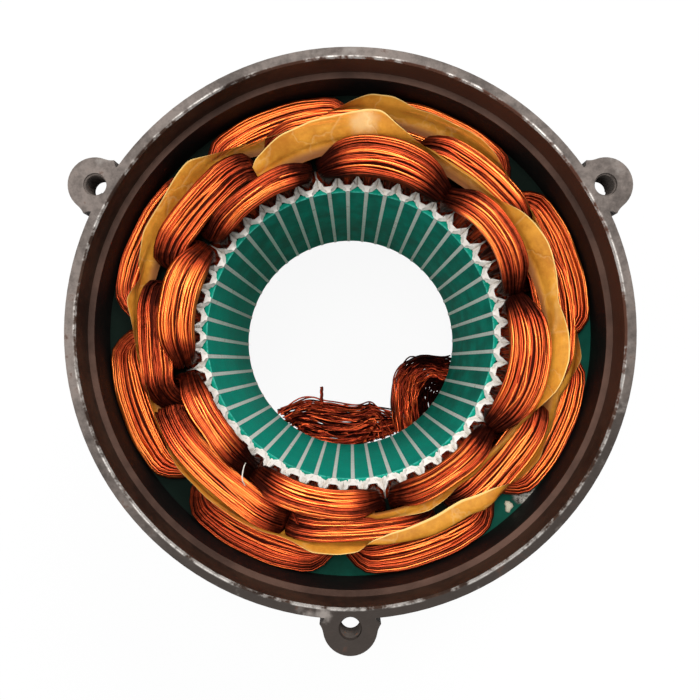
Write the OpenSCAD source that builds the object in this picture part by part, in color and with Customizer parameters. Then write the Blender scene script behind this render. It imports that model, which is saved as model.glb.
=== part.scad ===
// Wound stator of a three-phase machine, standing on its rear rim.
// The machine axis is Z. Z = 0 is the rear rim face and the front end looks up.

/* [Cast frame] */
// wall of the cast barrel between the rims
barrel_wall = 5.8; // [4.5:0.1:8]
// how much the end-shield registers are opened out past the core seat, on the radius
register_step = 2.9; // [2:0.1:4]
// depth of the end-shield registers, and length of the rim collars round them
register_depth = 19; // [14:1:22]
// wall of the turned rims round the registers
rim_wall = 5; // [4:0.1:8]
// small bevel on the register mouth and the rim edges
edge_bevel = 0.8; // [0.3:0.1:1.2]

/* [Lugs] */
// lugs on each rim
lug_count = 3; // [3:1:4]
// direction of the first lug
lug_angle = 30; // [0:15:90]
// how far the lug holes lie outside the rim
lug_out = 4; // [2:0.5:8]
// radius of the tapped hole
lug_hole_r = 5.1; // [4:0.1:6]
// wall round the tapped hole
lug_wall = 6.9; // [5:0.1:9]
// hollow radius where a lug runs into the rim
lug_fillet_r = 9; // [4:1:14]

/* [Core] */
// bore radius for the rotor
bore_r = 70; // [68:0.5:74]
// stack length
core_len = 180; // [150:1:190]
// direction of the first slot
slot_angle = 1; // [-4:0.5:4]
// width of the slot mouth
mouth_w = 2; // [1.6:0.1:2.3]
// thickness of the tooth tips
tip_t = 1.1; // [0.8:0.1:1.6]
// slot width under the tooth tips
slot_top_w = 4.6; // [4:0.1:4.9]
// slot width at its round bottom
slot_low_w = 7.2; // [6.4:0.1:7.6]
// depth from the bore to the bottom of a slot
slot_depth = 27.2; // [25:0.2:30]
// iron between the slots and the seat in the frame
yoke = 20.4; // [17:0.2:26]

/* [Slot insulation] */
// thickness of the slot paper
paper_t = 0.35; // [0.2:0.05:0.5]
// how far the paper cuffs stand out of the core
cuff_len = 3; // [1.5:0.25:3.5]
// how far the closing strips stand out of the core
strip_out = 3; // [1:0.25:4]
// thickness of the closing strips under the tooth tips
strip_t = 0.7; // [0.5:0.1:1]
// gap between the core and the insulation
paper_gap = 0.06; // [0.03:0.01:0.1]

/* [Winding] */
// gap between a coil side and its slot paper
side_gap = 0.25; // [0.15:0.05:0.4]
// gap between the inner layer and the edge of the bore
bore_clear = 2.2; // [1.5:0.1:3]
// gap between the outer layer and the frame wall
wall_clear = 1.1; // [0.6:0.1:2]
// height of the end turns over the core
crown_h = 27; // [24:0.5:32]
// gap between the top of the end turns and the register step
top_clear = 1; // [0.6:0.1:2]

/* [Phase films] */
// thickness of the film
film_t = 0.2; // [0.1:0.05:0.3]
// stations round each film
film_steps = 48; // [36:12:60]
// height of the waves in the free edge
film_wave = 1.8; // [0:0.2:2.4]

/* [Rear leads] */
// half width of the standing lead loop
loop_half_w = 7.5; // [5:0.5:9]
// half thickness of the standing lead loop
loop_half_t = 3.2; // [2:0.2:3.4]
// half width of the flat lead bunch
bunch_half_w = 7; // [5:0.5:9]
// half thickness of the flat lead bunch
bunch_half_t = 3; // [2:0.2:3.4]
// how narrow a bundle gets where it runs into the winding
lead_end = 0.45; // [0.3:0.05:0.6]

/* [Hidden] */
// A winding with eight poles, three phases and one coil side in each slot.
poles = 8;
phases = 3;
slots = 2 * phases * poles;
coil_pitch = slots / poles - 1;
slot_pitch = 360 / slots;
pole_pitch = 360 / poles;
half_span = coil_pitch * slot_pitch / 2;

core_r = bore_r + slot_depth + yoke;
recess = crown_h + top_clear + register_depth;
frame_len = core_len + 2 * recess;
mid_z = frame_len / 2;
register_r = core_r + register_step;
rim_r = register_r + rim_wall;
barrel_r = core_r + barrel_wall;
lug_circle_r = rim_r + lug_out;
lug_r = lug_hole_r + lug_wall;
lug_reach_r = rim_r + lug_fillet_r;
lug_swing = acos((pow(lug_circle_r, 2) + pow(lug_reach_r, 2) - pow(lug_r + lug_fillet_r, 2))
    / (2 * lug_circle_r * lug_reach_r));

slot_low_r = bore_r + slot_depth - slot_low_w / 2;
slot_top_r = bore_r + tip_t + (slot_top_w - mouth_w) / 2;
strip_top_r = slot_top_r + strip_t;

// A coil side fills its slot between the closing strip and the round bottom.
side_margin = paper_gap + paper_t + side_gap;
side_top_r = strip_top_r + 2 * side_gap;
side_low_r = bore_r + slot_depth - 2 * side_margin;
side_r = (side_top_r + side_low_r) / 2;
side_half = (side_low_r - side_top_r) / 2;
slot_slope = (slot_low_w - slot_top_w) / 2 / (slot_low_r - slot_top_r);
side_half_w = slot_top_w / 2 + slot_slope * (side_r - slot_top_r) - side_margin;
side_taper = slot_slope * side_half / side_half_w;

// The end turns share the ring between the bore and the frame wall, over the paper cuffs.
crown_low_r = bore_r + bore_clear;
crown_high_r = core_r - wall_clear;
crown_w = crown_high_r - crown_low_r;
crown_mid_r = (crown_high_r + crown_low_r) / 2;
crown_over = crown_h - cuff_len;
cut = 1;
iron = [0.28, 0.23, 0.21];
green = [0.05, 0.4, 0.33];
paper = [0.92, 0.9, 0.86];
copper = [0.72, 0.32, 0.12];
amber = [0.85, 0.6, 0.2];
$fn = 96;

// The course of one half end turn, from the slot to the middle of the crown.
// Each row: share of the half span, radius, height over the core, lean of the section,
// turn from upright to level, half width, half height.
// They are drawn for one ring and fitted to the real one, which has its inner radius, its width,
// the height of its cuffs and the height over them from the sizes above.
drawn_ring = [72.2, 44.3, 3, 24];
course_a = [
    [1, 89.5, 7.3, -29, 90, 7.4, 3.8],
    [1, 97, 7, -82, 85, 3.7, 5.1],
    [0.96, 103.5, 6.6, -90, 62, 4, 6],
    [0.82, 107, 6.3, -90, 28, 4.1, 7.8],
    [0.5, 107.8, 6.2, -90, 7, 4.1, 8.6],
    [0, 107.8, 6.2, -90, 0, 4.1, 8.7]
];
course_b = [
    [0.99, 87.3, 10.4, -18, 84, 8.6, 3.3],
    [0.9, 93.7, 14.5, -15, 52, 8, 3.9],
    [0.68, 96.5, 15.6, -4, 20, 8.8, 4.1],
    [0.35, 97, 15.7, 0, 4, 9.5, 4.1],
    [0, 97, 15.7, 0, 0, 9.5, 4.1]
];
course_c = [
    [0.985, 80.6, 10.5, 4, 80, 6.8, 4.3],
    [0.9, 79.3, 16.3, 8, 50, 5.7, 4.6],
    [0.7, 81, 20.6, 9, 22, 8.6, 4.4],
    [0.4, 82.3, 22.3, 9, 6, 9.8, 4.4],
    [0, 82.5, 22.5, 9, 0, 10, 4.4]
];
course_rise = [3.25, 5, 5];

// The films in section, drawn for the same ring: inner edge, bend and free edge, each a radius and a height.
film_outer_profile = [[101, 10.97], [108.6, 11.3], [111, 17.5]];
film_inner_profile = [[89.8, 19.35], [94.8, 21.6], [97.5, 25]];
// how much a free edge leans out as it rises
film_lean = 0.25;
// where the waves of each film begin, front and rear
film_outer_shift = [20, 140];
film_inner_shift = [75, 200];

// The fit of the drawn ring to the real one.
function ring_r(r) = crown_low_r + (r - drawn_ring[0]) * crown_w / drawn_ring[1];
function ring_z(z) = cuff_len + (z - drawn_ring[2]) * crown_over / drawn_ring[3];
ring_turn = crown_mid_r / (drawn_ring[0] + drawn_ring[1] / 2);

// Eight corners of a bundle section, flats at one.
ring = [[1, -0.41], [1, 0.41], [0.41, 1], [-0.41, 1], [-1, 0.41], [-1, -0.41], [-0.41, -1], [0.41, -1]];

// The lead bundles: plan points drawn for the same ring, with heights over the core.
loop_course = [
    [70.4, -12.6, 21], [62, -10, 20.5], [52, -9.8, 19.5], [44.5, -15.5, 19], [41, -26, 19],
    [39, -40, 19.5], [39.6, -57.4, 21]
];
bunch_course = [
    [-49.4, -48.9, 20.5], [-38, -51.5, 23], [-20, -54.5, 24], [0, -57, 24], [12, -58.5, 23],
    [21, -61, 21], [27.8, -64.3, 20]
];

// One cast lug in plan: a round end with hollow fillets into the rim.
module lug_plan() {
    difference() {
        union() {
            translate([lug_circle_r, 0]) circle(r = lug_r);
            polygon([
                [core_r, 0],
                [lug_reach_r * cos(lug_swing), -lug_reach_r * sin(lug_swing)],
                [lug_circle_r, 0],
                [lug_reach_r * cos(lug_swing), lug_reach_r * sin(lug_swing)]
            ]);
        }
        rotate(lug_swing) translate([lug_reach_r, 0]) circle(r = lug_fillet_r);
        rotate(-lug_swing) translate([lug_reach_r, 0]) circle(r = lug_fillet_r);
    }
}

module every_lug() {
    for (i = [0 : lug_count - 1])
        rotate(lug_angle + i * 360 / lug_count) children();
}

// A tapped hole, right through the lug.
module lug_hole() {
    translate([lug_circle_r, 0, -cut]) cylinder(r = lug_hole_r, h = register_depth + 2 * cut);
}

// One turned end of the casting, drawn with its face at the bottom: collar, register and lugs.
module rim() {
    color(iron) difference() {
        linear_extrude(height = register_depth) difference() {
            union() {
                circle(r = rim_r);
                every_lug() lug_plan();
            }
            circle(r = register_r);
        }
        translate([0, 0, -cut])
            cylinder(r1 = register_r + edge_bevel + cut, r2 = register_r, h = edge_bevel + cut);
        every_lug() lug_hole();
    }
}

module rear_rim() {
    rim();
}

module front_rim() {
    translate([0, 0, frame_len]) mirror([0, 0, 1]) rim();
}

// The barrel of the casting, which seats the core. Its end faces are the register steps.
module frame_barrel() {
    slope = rim_r - barrel_r;
    low = register_depth;
    high = frame_len - register_depth;
    color(iron) rotate_extrude() polygon([
        [core_r, low],
        [rim_r, low],
        [barrel_r, low + slope],
        [barrel_r, high - slope],
        [rim_r, high],
        [core_r, high]
    ]);
}

// The slot space under the tooth tips, drawn in from its walls by a margin.
module slot_plan(margin) {
    polygon([
        [bore_r + tip_t + margin, mouth_w / 2 - margin],
        [slot_top_r + margin, slot_top_w / 2 - margin],
        [slot_low_r, slot_low_w / 2 - margin],
        [slot_low_r, margin - slot_low_w / 2],
        [slot_top_r + margin, margin - slot_top_w / 2],
        [bore_r + tip_t + margin, margin - mouth_w / 2]
    ]);
    translate([slot_low_r, 0]) circle(r = slot_low_w / 2 - margin, $fn = 32);
}

module every_slot() {
    for (i = [0 : slots - 1])
        rotate(slot_angle + i * slot_pitch) children();
}

module stator_core() {
    color(green) translate([0, 0, recess]) linear_extrude(height = core_len) difference() {
        circle(r = core_r, $fn = 192);
        circle(r = bore_r, $fn = 192);
        every_slot() {
            slot_plan(0);
            translate([bore_r - cut, -mouth_w / 2]) square([tip_t + 2 * cut, mouth_w]);
        }
    }
}

// The paper trough in each slot, open towards the bore where the closing strip lies.
module slot_liners() {
    color(paper) translate([0, 0, recess - cuff_len])
        every_slot() linear_extrude(height = core_len + 2 * cuff_len) difference() {
            slot_plan(paper_gap);
            slot_plan(paper_gap + paper_t);
            translate([bore_r, -slot_top_w]) square([strip_top_r - bore_r + paper_gap, 2 * slot_top_w]);
        }
}

// The strip that closes each slot mouth.
module slot_strips() {
    low = mouth_w / 2 - paper_gap;
    wide = slot_top_w / 2 - paper_gap;
    color(paper) translate([0, 0, recess - strip_out])
        every_slot() linear_extrude(height = core_len + 2 * strip_out) polygon([
            [bore_r + paper_gap, -low],
            [bore_r + tip_t + 2 * paper_gap, -low],
            [slot_top_r + paper_gap, -wide],
            [strip_top_r, -wide],
            [strip_top_r, wide],
            [slot_top_r + paper_gap, wide],
            [bore_r + tip_t + 2 * paper_gap, low],
            [bore_r + paper_gap, low]
        ]);
}

// A point of the winding, from its drawn radius and height. End is 1 at the front and -1 at the rear.
function wound(r, z, angle, aside, end) = [
    ring_r(r) * cos(angle) - aside * ring_turn * sin(angle),
    ring_r(r) * sin(angle) + aside * ring_turn * cos(angle),
    mid_z + end * (core_len / 2 + ring_z(z))
];

// Corner points of a bundle section on one row of a course. Side is -1 before the crown and 1 after it.
function section(row, angle, side, end) =
    [for (c = ring)
        let (
            wide = c[0] * row[5],
            high = c[1] * row[6] * (1 + side_taper * sin(row[4]) * c[0])
        )
        wound(
            row[1] + wide * cos(row[3]) - high * cos(row[4]) * sin(row[3]),
            row[2] + wide * sin(row[3]) + high * cos(row[4]) * cos(row[3]),
            angle + side * row[0] * half_span,
            side * high * sin(row[4]),
            end
        )
    ];

// Corner points of a coil side where it stands straight in its slot, at a height over the core.
function side_section(height, angle, side, end) =
    let (a = angle + side * half_span)
    [for (c = ring)
        let (
            r = side_r + c[0] * side_half,
            aside = side * c[1] * side_half_w * (1 + side_taper * c[0])
        )
        [r * cos(a) - aside * sin(a), r * sin(a) + aside * cos(a), mid_z + end * (core_len / 2 + height)]
    ];

// One closed coil: front crown, one side, rear crown, other side.
module coil(phase, number) {
    course = [course_a, course_b, course_c][phase];
    rise = [0, ring_z(course_rise[phase])];
    angle = coil_angle(phase, number);
    last = len(course) - 1;
    loops = [for (end = [1, -1]) each concat(
        [for (h = rise) side_section(h, angle, -end, end)],
        [for (i = [0 : last]) section(course[i], angle, -end, end)],
        [for (i = [last - 1 : -1 : 0]) section(course[i], angle, end, end)],
        [for (i = [1, 0]) side_section(rise[i], angle, end, end)]
    )];
    count = len(loops);
    sides = len(ring);
    color(copper) polyhedron(
        points = [for (l = loops) each l],
        faces = [for (i = [0 : count - 1], k = [0 : sides - 1])
            let (
                j = (i + 1) % count,
                m = (k + 1) % sides
            )
            each [
                [i * sides + k, j * sides + m, j * sides + k],
                [i * sides + k, i * sides + m, j * sides + m]
            ]
        ]
    );
}

function coil_angle(phase, number) =
    slot_angle + half_span - 2 * phase * slot_pitch + (number - 1) * pole_pitch;

// Free edge of a film: slow swells with shorter ripples, the same every time it is built.
function film_edge(a, shift) =
    film_wave * (0.55 * sin(3 * a + shift) + 0.3 * sin(8 * a + 2 * shift) + 0.15 * sin(13 * a - shift));

// A film collar between two layers: flat under the upper layer, then turned up beside it.
// The profile has three points, inner edge, bend and free edge, each with a drawn radius and height.
module film(profile, shift, end) {
    half = film_t / 2;
    skin = [[0, half], [-half, half], [-half, 0]];
    corners = 2 * len(profile);
    pts = [for (i = [0 : film_steps - 1])
        let (
            a = i * 360 / film_steps,
            lift = film_edge(a, shift),
            low = [profile[0], profile[1], profile[2] + [film_lean, 1] * lift]
        )
        each concat(
            [for (k = [0 : 2]) wound(low[k][0] + skin[k][0], low[k][1] + skin[k][1], a, 0, end)],
            [for (k = [2 : -1 : 0]) wound(low[k][0] - skin[k][0], low[k][1] - skin[k][1], a, 0, end)]
        )
    ];
    color(amber) polyhedron(
        points = pts,
        faces = [for (i = [0 : film_steps - 1], k = [0 : corners - 1])
            let (
                j = (i + 1) % film_steps,
                m = (k + 1) % corners,
                near = [i * corners + k, i * corners + m],
                far = [j * corners + k, j * corners + m]
            )
            each (end > 0
                ? [[near[0], far[0], far[1]], [near[0], far[1], near[1]]]
                : [[near[0], far[1], far[0]], [near[0], near[1], far[1]]])
        ]
    );
}

// A level bundle of leads along a course in plan at the rear end, closed at both ends.
module lead_bundle(course, half_w, half_t) {
    last = len(course) - 1;
    sides = len(ring);
    fit = crown_low_r / drawn_ring[0];
    way = [for (p = course) [p[0] * fit, p[1] * fit, recess - ring_z(p[2])]];
    pts = [for (i = [0 : last])
        let (
            step = way[min(i + 1, last)] - way[max(i - 1, 0)],
            run = norm([step[0], step[1]]),
            across = [step[1] / run, -step[0] / run, 0],
            narrow = lead_end + (1 - lead_end) * min(1, i / 2, (last - i) / 2)
        )
        for (c = ring) way[i] + across * (c[0] * half_w * narrow) + [0, 0, c[1] * half_t * narrow]
    ];
    color(copper) polyhedron(
        points = pts,
        faces = concat(
            [[for (k = [sides - 1 : -1 : 0]) k]],
            [for (i = [0 : last - 1], k = [0 : sides - 1])
                let (m = (k + 1) % sides)
                each [
                    [i * sides + k, (i + 1) * sides + m, (i + 1) * sides + k],
                    [i * sides + k, i * sides + m, (i + 1) * sides + m]
                ]
            ],
            [[for (k = [0 : sides - 1]) last * sides + k]]
        )
    );
}

module rear_lead_loop() {
    lead_bundle(loop_course, loop_half_w, loop_half_t);
}

module rear_lead_bunch() {
    lead_bundle(bunch_course, bunch_half_w, bunch_half_t);
}

frame_barrel();
front_rim();
rear_rim();
stator_core();
slot_liners();
slot_strips();
coil(0, 1);  // coil_a1
coil(0, 2);  // coil_a2
coil(0, 3);  // coil_a3
coil(0, 4);  // coil_a4
coil(0, 5);  // coil_a5
coil(0, 6);  // coil_a6
coil(0, 7);  // coil_a7
coil(0, 8);  // coil_a8
coil(1, 1);  // coil_b1
coil(1, 2);  // coil_b2
coil(1, 3);  // coil_b3
coil(1, 4);  // coil_b4
coil(1, 5);  // coil_b5
coil(1, 6);  // coil_b6
coil(1, 7);  // coil_b7
coil(1, 8);  // coil_b8
coil(2, 1);  // coil_c1
coil(2, 2);  // coil_c2
coil(2, 3);  // coil_c3
coil(2, 4);  // coil_c4
coil(2, 5);  // coil_c5
coil(2, 6);  // coil_c6
coil(2, 7);  // coil_c7
coil(2, 8);  // coil_c8
film(film_outer_profile, film_outer_shift[0], 1);  // film_outer_front
film(film_inner_profile, film_inner_shift[0], 1);  // film_inner_front
film(film_outer_profile, film_outer_shift[1], -1);  // film_outer_rear
film(film_inner_profile, film_inner_shift[1], -1);  // film_inner_rear
rear_lead_loop();
rear_lead_bunch();
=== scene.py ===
# %% [markdown]
# # A wound stator, seen into its bore
# The solids of this machine part are already modelled: a cast frame with lugs, a slotted core, slot paper,
# 24 coils in three layers, films between the layers and two bundles of leads at the far end. This lesson
# loads them and dresses them. The frame, the core and the slot paper keep their solids and get finishes. The
# coils become real wires, because a smooth solid never looks like a winding.

import math

import bpy
import numpy as np
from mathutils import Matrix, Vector


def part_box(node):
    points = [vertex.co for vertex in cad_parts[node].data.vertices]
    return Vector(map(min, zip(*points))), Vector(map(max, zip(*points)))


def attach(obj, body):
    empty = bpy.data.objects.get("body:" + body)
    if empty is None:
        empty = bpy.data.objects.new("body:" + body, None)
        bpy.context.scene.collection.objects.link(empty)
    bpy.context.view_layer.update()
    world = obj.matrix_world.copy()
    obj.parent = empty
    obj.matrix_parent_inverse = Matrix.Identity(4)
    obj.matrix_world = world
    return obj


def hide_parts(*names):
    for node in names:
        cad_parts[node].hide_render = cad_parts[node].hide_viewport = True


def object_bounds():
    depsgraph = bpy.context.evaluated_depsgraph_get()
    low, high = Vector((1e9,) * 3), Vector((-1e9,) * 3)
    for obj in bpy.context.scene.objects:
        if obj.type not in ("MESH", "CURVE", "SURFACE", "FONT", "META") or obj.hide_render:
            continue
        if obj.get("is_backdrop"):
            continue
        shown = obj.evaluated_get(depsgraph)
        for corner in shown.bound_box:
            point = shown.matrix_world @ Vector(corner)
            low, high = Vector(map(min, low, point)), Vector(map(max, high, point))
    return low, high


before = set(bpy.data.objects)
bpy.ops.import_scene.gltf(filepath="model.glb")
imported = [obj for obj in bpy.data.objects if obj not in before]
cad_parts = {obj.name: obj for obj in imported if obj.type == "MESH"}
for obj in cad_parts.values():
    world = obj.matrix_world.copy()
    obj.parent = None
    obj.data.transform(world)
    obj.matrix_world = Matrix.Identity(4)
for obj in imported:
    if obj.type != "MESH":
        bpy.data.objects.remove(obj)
cad_low, cad_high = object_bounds()
MM = 0.001
core_low, core_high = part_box("stator_core")
CORE_MID = (core_low.z + core_high.z) / 2 / MM
CORE_HALF = (core_high.z - core_low.z) / 2 / MM
rim_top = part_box("front_rim")[1].z
scene = bpy.context.scene


def add_object(name, data):
    made = bpy.data.objects.new(name, data)
    scene.collection.objects.link(made)
    return made


print("nodes:", len(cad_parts), "core length:", round(2 * CORE_HALF, 1), "mm")
print("rim at", round(rim_top, 4), "m")

# %% [markdown]
# ## The camera
# The photograph looks straight down the bore, so the camera hangs over the upper end and looks along -Z,
# with the picture's up along +Y. The sizes of the near and the far edge of the bore fix its distance: about
# 0.4 m over the rim.

# %% Camera
PICTURE_PX = 700
FOCAL_PX = 911
CAMERA_OVER_RIM = 0.399
camera_data = bpy.data.cameras.new("front_view")
camera_data.sensor_width = 36
camera_data.lens = FOCAL_PX / PICTURE_PX * camera_data.sensor_width
camera = add_object("front_view", camera_data)
camera.location = (0.0003, -0.0128, rim_top + CAMERA_OVER_RIM)
camera.rotation_euler = (math.radians(0.70), math.radians(0.06), 0)
scene.camera = camera
scene.view_settings.view_transform = "Standard"
print("camera", [round(x, 3) for x in camera.location], "lens", round(camera_data.lens, 1))

# %% [markdown]
# ## Shader sums as Python
# A finish is a sum of masks: noise, distance from the axis, height. One small class wraps a socket, so that
# such sums can be written as Python and each operator adds a Math node. Colours and vectors go through Mix
# and Vector Math, because a Math node would turn a colour grey.

# %% The socket class
class Signal:
    """One output socket of a material. Sums on it add the nodes that work them out."""

    def __init__(self, socket):
        self.socket = socket
        self.tree = socket.id_data

    def add(self, kind, settings=None, inputs=None, out=0):
        """Adds a shader node: its settings first, then the values or links of its sockets."""
        node = self.tree.nodes.new("ShaderNode" + kind)
        for name, value in (settings or {}).items():
            setattr(node, name, value)
        for name, value in (inputs or {}).items():
            if isinstance(value, Signal):
                self.tree.links.new(value.socket, node.inputs[name])
            else:
                node.inputs[name].default_value = value
        return Signal(node.outputs[out])

    def work(self, operation, first, second):
        """A Math node, or Vector Math for vectors."""
        vector = any(isinstance(v, Signal) and v.socket.type == "VECTOR" for v in (first, second))
        if not vector:
            return self.add("Math", {"operation": operation}, {0: first, 1: second})
        first, second = [v if isinstance(v, (Signal, tuple)) else (v, v, v) for v in (first, second)]
        return self.add("VectorMath", {"operation": operation}, {0: first, 1: second})

    def __add__(self, other):
        return self.work("ADD", self, other)

    __radd__ = __add__

    def __sub__(self, other):
        return self.work("SUBTRACT", self, other)

    def __rsub__(self, other):
        return self.work("SUBTRACT", other, self)

    def __mul__(self, other):
        return self.work("MULTIPLY", self, other)

    __rmul__ = __mul__

    def __pow__(self, other):
        return self.work("POWER", self, other)

    def band(self, low, high):
        """0 below low, 1 above high, and smooth between them. High may be the lower number."""
        return self.add("MapRange", {"interpolation_type": "SMOOTHSTEP"},
                        {"Value": self, "From Min": low, "From Max": high})

    def blend(self, under, over):
        """A colour mix with this value as its factor."""
        under, over = [(*c, 1.0) if isinstance(c, tuple) else c for c in (under, over)]
        return self.add("Mix", {"data_type": "RGBA"}, {0: self, 6: under, 7: over}, out=2)

    def noise(self, scale, detail, rough):
        sockets = {"Vector": self, "Scale": scale, "Detail": detail, "Roughness": rough}
        return self.add("TexNoise", None, sockets)


print("socket class ready")

# %% [markdown]
# ## Starting a finish
# Every finish starts the same way: a new material with its one Principled shader, and the object's own
# coordinates in metres, which stay fixed to the part. The object is round and both its ends are alike, so
# the distance from its axis and the depth below the nearer rim are worked out here once.

# %% Finish helper
class Finish:
    """A material under way: its shader and its coordinates."""

    def __init__(self, name, **constants):
        self.material = bpy.data.materials.new(name)
        self.material.use_nodes = True
        self.shader = self.material.node_tree.nodes["Principled BSDF"]
        start = self.material.node_tree.nodes.new("ShaderNodeTexCoord")
        self.at = Signal(start.outputs["Object"])
        for word, value in constants.items():
            self.shader.inputs[word.replace("_", " ")].default_value = value

    def axes(self):
        """X, y, z and the distance from the machine's axis."""
        split = self.at.add("SeparateXYZ", None, {"Vector": self.at})
        outputs = split.socket.node.outputs
        x, y, z = (Signal(outputs[name]) for name in "XYZ")
        return x, y, z, (x * x + y * y) ** 0.5

    def feed(self, **sockets):
        for word, value in sockets.items():
            self.material.node_tree.links.new(value.socket, self.shader.inputs[word.replace("_", " ")])

    def bump(self, height, strength, distance):
        sockets = {"Height": height, "Strength": strength, "Distance": distance}
        self.feed(Normal=height.add("Bump", None, sockets))


def below_rim(z):
    """Depth below the nearer rim face."""
    return z.work("MINIMUM", z, rim_top - z)


FACE_DEPTH = rim_top - core_high.z
print("core face", round(FACE_DEPTH / MM, 1), "mm below the rim")

# %% [markdown]
# ## Cast iron
# The frame is one casting, turned at its ends. Its rim face has gone grey-brown with freckles of rust, is
# painted darker at the lower side as shade, and is bright at the inner edge, partly rubbed bare and partly a
# painted highlight. The register wall behind it is dark brown, redder at the upper right, the step under it
# lighter, and the deep wall is painted nearly black as shade. Masks of the radius and of the depth below the
# rim lay one colour over another, and noise breaks every edge.

# %% The iron finish
RIM_EDGE = 0.1212
STEP_DEPTH = 0.0192


def iron_finish():
    f = Finish("cast_iron_worn", IOR=1.5, Specular_IOR_Level=0.22)
    x, y, z, radius = f.axes()
    cloud = f.at.noise(26, 5, 0.62)
    speck = f.at.noise(240, 4, 0.7)
    grain = f.at.noise(1400, 2, 0.5)
    wobble = (cloud - 0.5) * 0.0022
    depth = below_rim(z)
    mottled = (cloud * 0.6 + speck * 0.4).band(0.36, 0.66)
    light = mottled.blend((0.06, 0.048, 0.041), (0.195, 0.16, 0.14))
    # Painted shade: the rim face is darker towards the lower side.
    low_side_shade = (y - x * 0.25 + (cloud - 0.5) * 0.12).band(0.02, -0.1) * 0.96
    turned = low_side_shade.blend(light, (0.026, 0.019, 0.015))
    freckles = (speck * 0.55 + cloud * 0.45).band(0.55, 0.68)
    rusty = freckles.blend(turned, (0.062, 0.029, 0.018))
    face = f.at.noise(75, 4, 0.6).band(0.58, 0.78).blend(rusty, (0.2, 0.174, 0.155))
    mixed = (cloud * 0.7 + speck * 0.3).band(0.38, 0.64)
    brown = mixed.blend((0.017, 0.008, 0.0045), (0.058, 0.028, 0.016))
    redder = (x * 0.7 + y * 0.7 + (cloud - 0.5) * 0.1).band(0.02, 0.1) * 0.7
    inside = (radius + wobble).band(RIM_EDGE + 0.0006, RIM_EDGE)
    walls = inside.blend(face, redder.blend(brown, (0.085, 0.030, 0.016)))
    # Painted shade: the deep wall below the step goes nearly black.
    deep = below_rim(z + wobble).band(STEP_DEPTH, STEP_DEPTH + 0.001) * inside
    deep_wall_shade = speck.band(0.35, 0.75).blend((0.003, 0.0018, 0.0014), (0.008, 0.005, 0.0035))
    dark = deep.blend(walls, deep_wall_shade)
    at_step = depth.band(STEP_DEPTH + 0.0007, STEP_DEPTH - 0.0001)
    on_step = at_step * depth.band(STEP_DEPTH - 0.0009, STEP_DEPTH - 0.0004)
    step = radius.band(0.1173, 0.1176) * inside * on_step
    light_brown = cloud.band(0.35, 0.65).blend((0.040, 0.018, 0.011), (0.092, 0.046, 0.031))
    ledge = step.blend(dark, light_brown)
    # The inner edge of the rim is bright, partly rubbed bare and partly a painted highlight.
    edge = radius + wobble * 0.5
    on_edge = edge.band(RIM_EDGE - 0.0008, RIM_EDGE - 0.0005)
    worn_and_glint = on_edge * edge.band(RIM_EDGE + 0.0010, RIM_EDGE + 0.0003) * depth.band(0.0015, 0.0007)
    bright = worn_and_glint * (f.at.noise(60, 4, 0.6) * 0.75 + speck * 0.25).band(0.46, 0.6)
    shell = radius.band(0.1225, 0.1232) * depth.band(0.0018, 0.0028)
    skin = cloud.band(0.35, 0.7).blend((0.06, 0.05, 0.044), (0.12, 0.095, 0.08))
    outer = shell.blend(ledge, speck.band(0.58, 0.72).blend(skin, (0.15, 0.07, 0.04)))
    f.feed(Base_Color=bright.blend(outer, (0.42, 0.39, 0.36)),
           Roughness=0.66 - bright * 0.25 - face.band(0.1, 0.4) * 0.12,
           Metallic=0.08 + bright * 0.5)
    f.bump(speck * 0.6 + grain * 0.25 + cloud * 0.5 + shell * speck, 0.55, 0.0006)
    return f.material


iron = iron_finish()
print("finish:", iron.name, len(iron.node_tree.nodes), "nodes")

# %% [markdown]
# ## Green enamel
# The core is a stack of thin steel sheets, brushed with green enamel after winding. The sheets show as fine
# lines, a wave along Z, and the brush left streaks, noise that is squeezed along Z. The coat is painted
# lighter towards the lower left as light. The end face is painted near black as shade under the coils, pale
# along the bore's edge, partly rubbed and partly a painted highlight, and bare grey metal in one patch.

# %% The enamel finish
CHIP = (0.0842, -0.0768)
SHADE_EDGE = 0.0721


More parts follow.
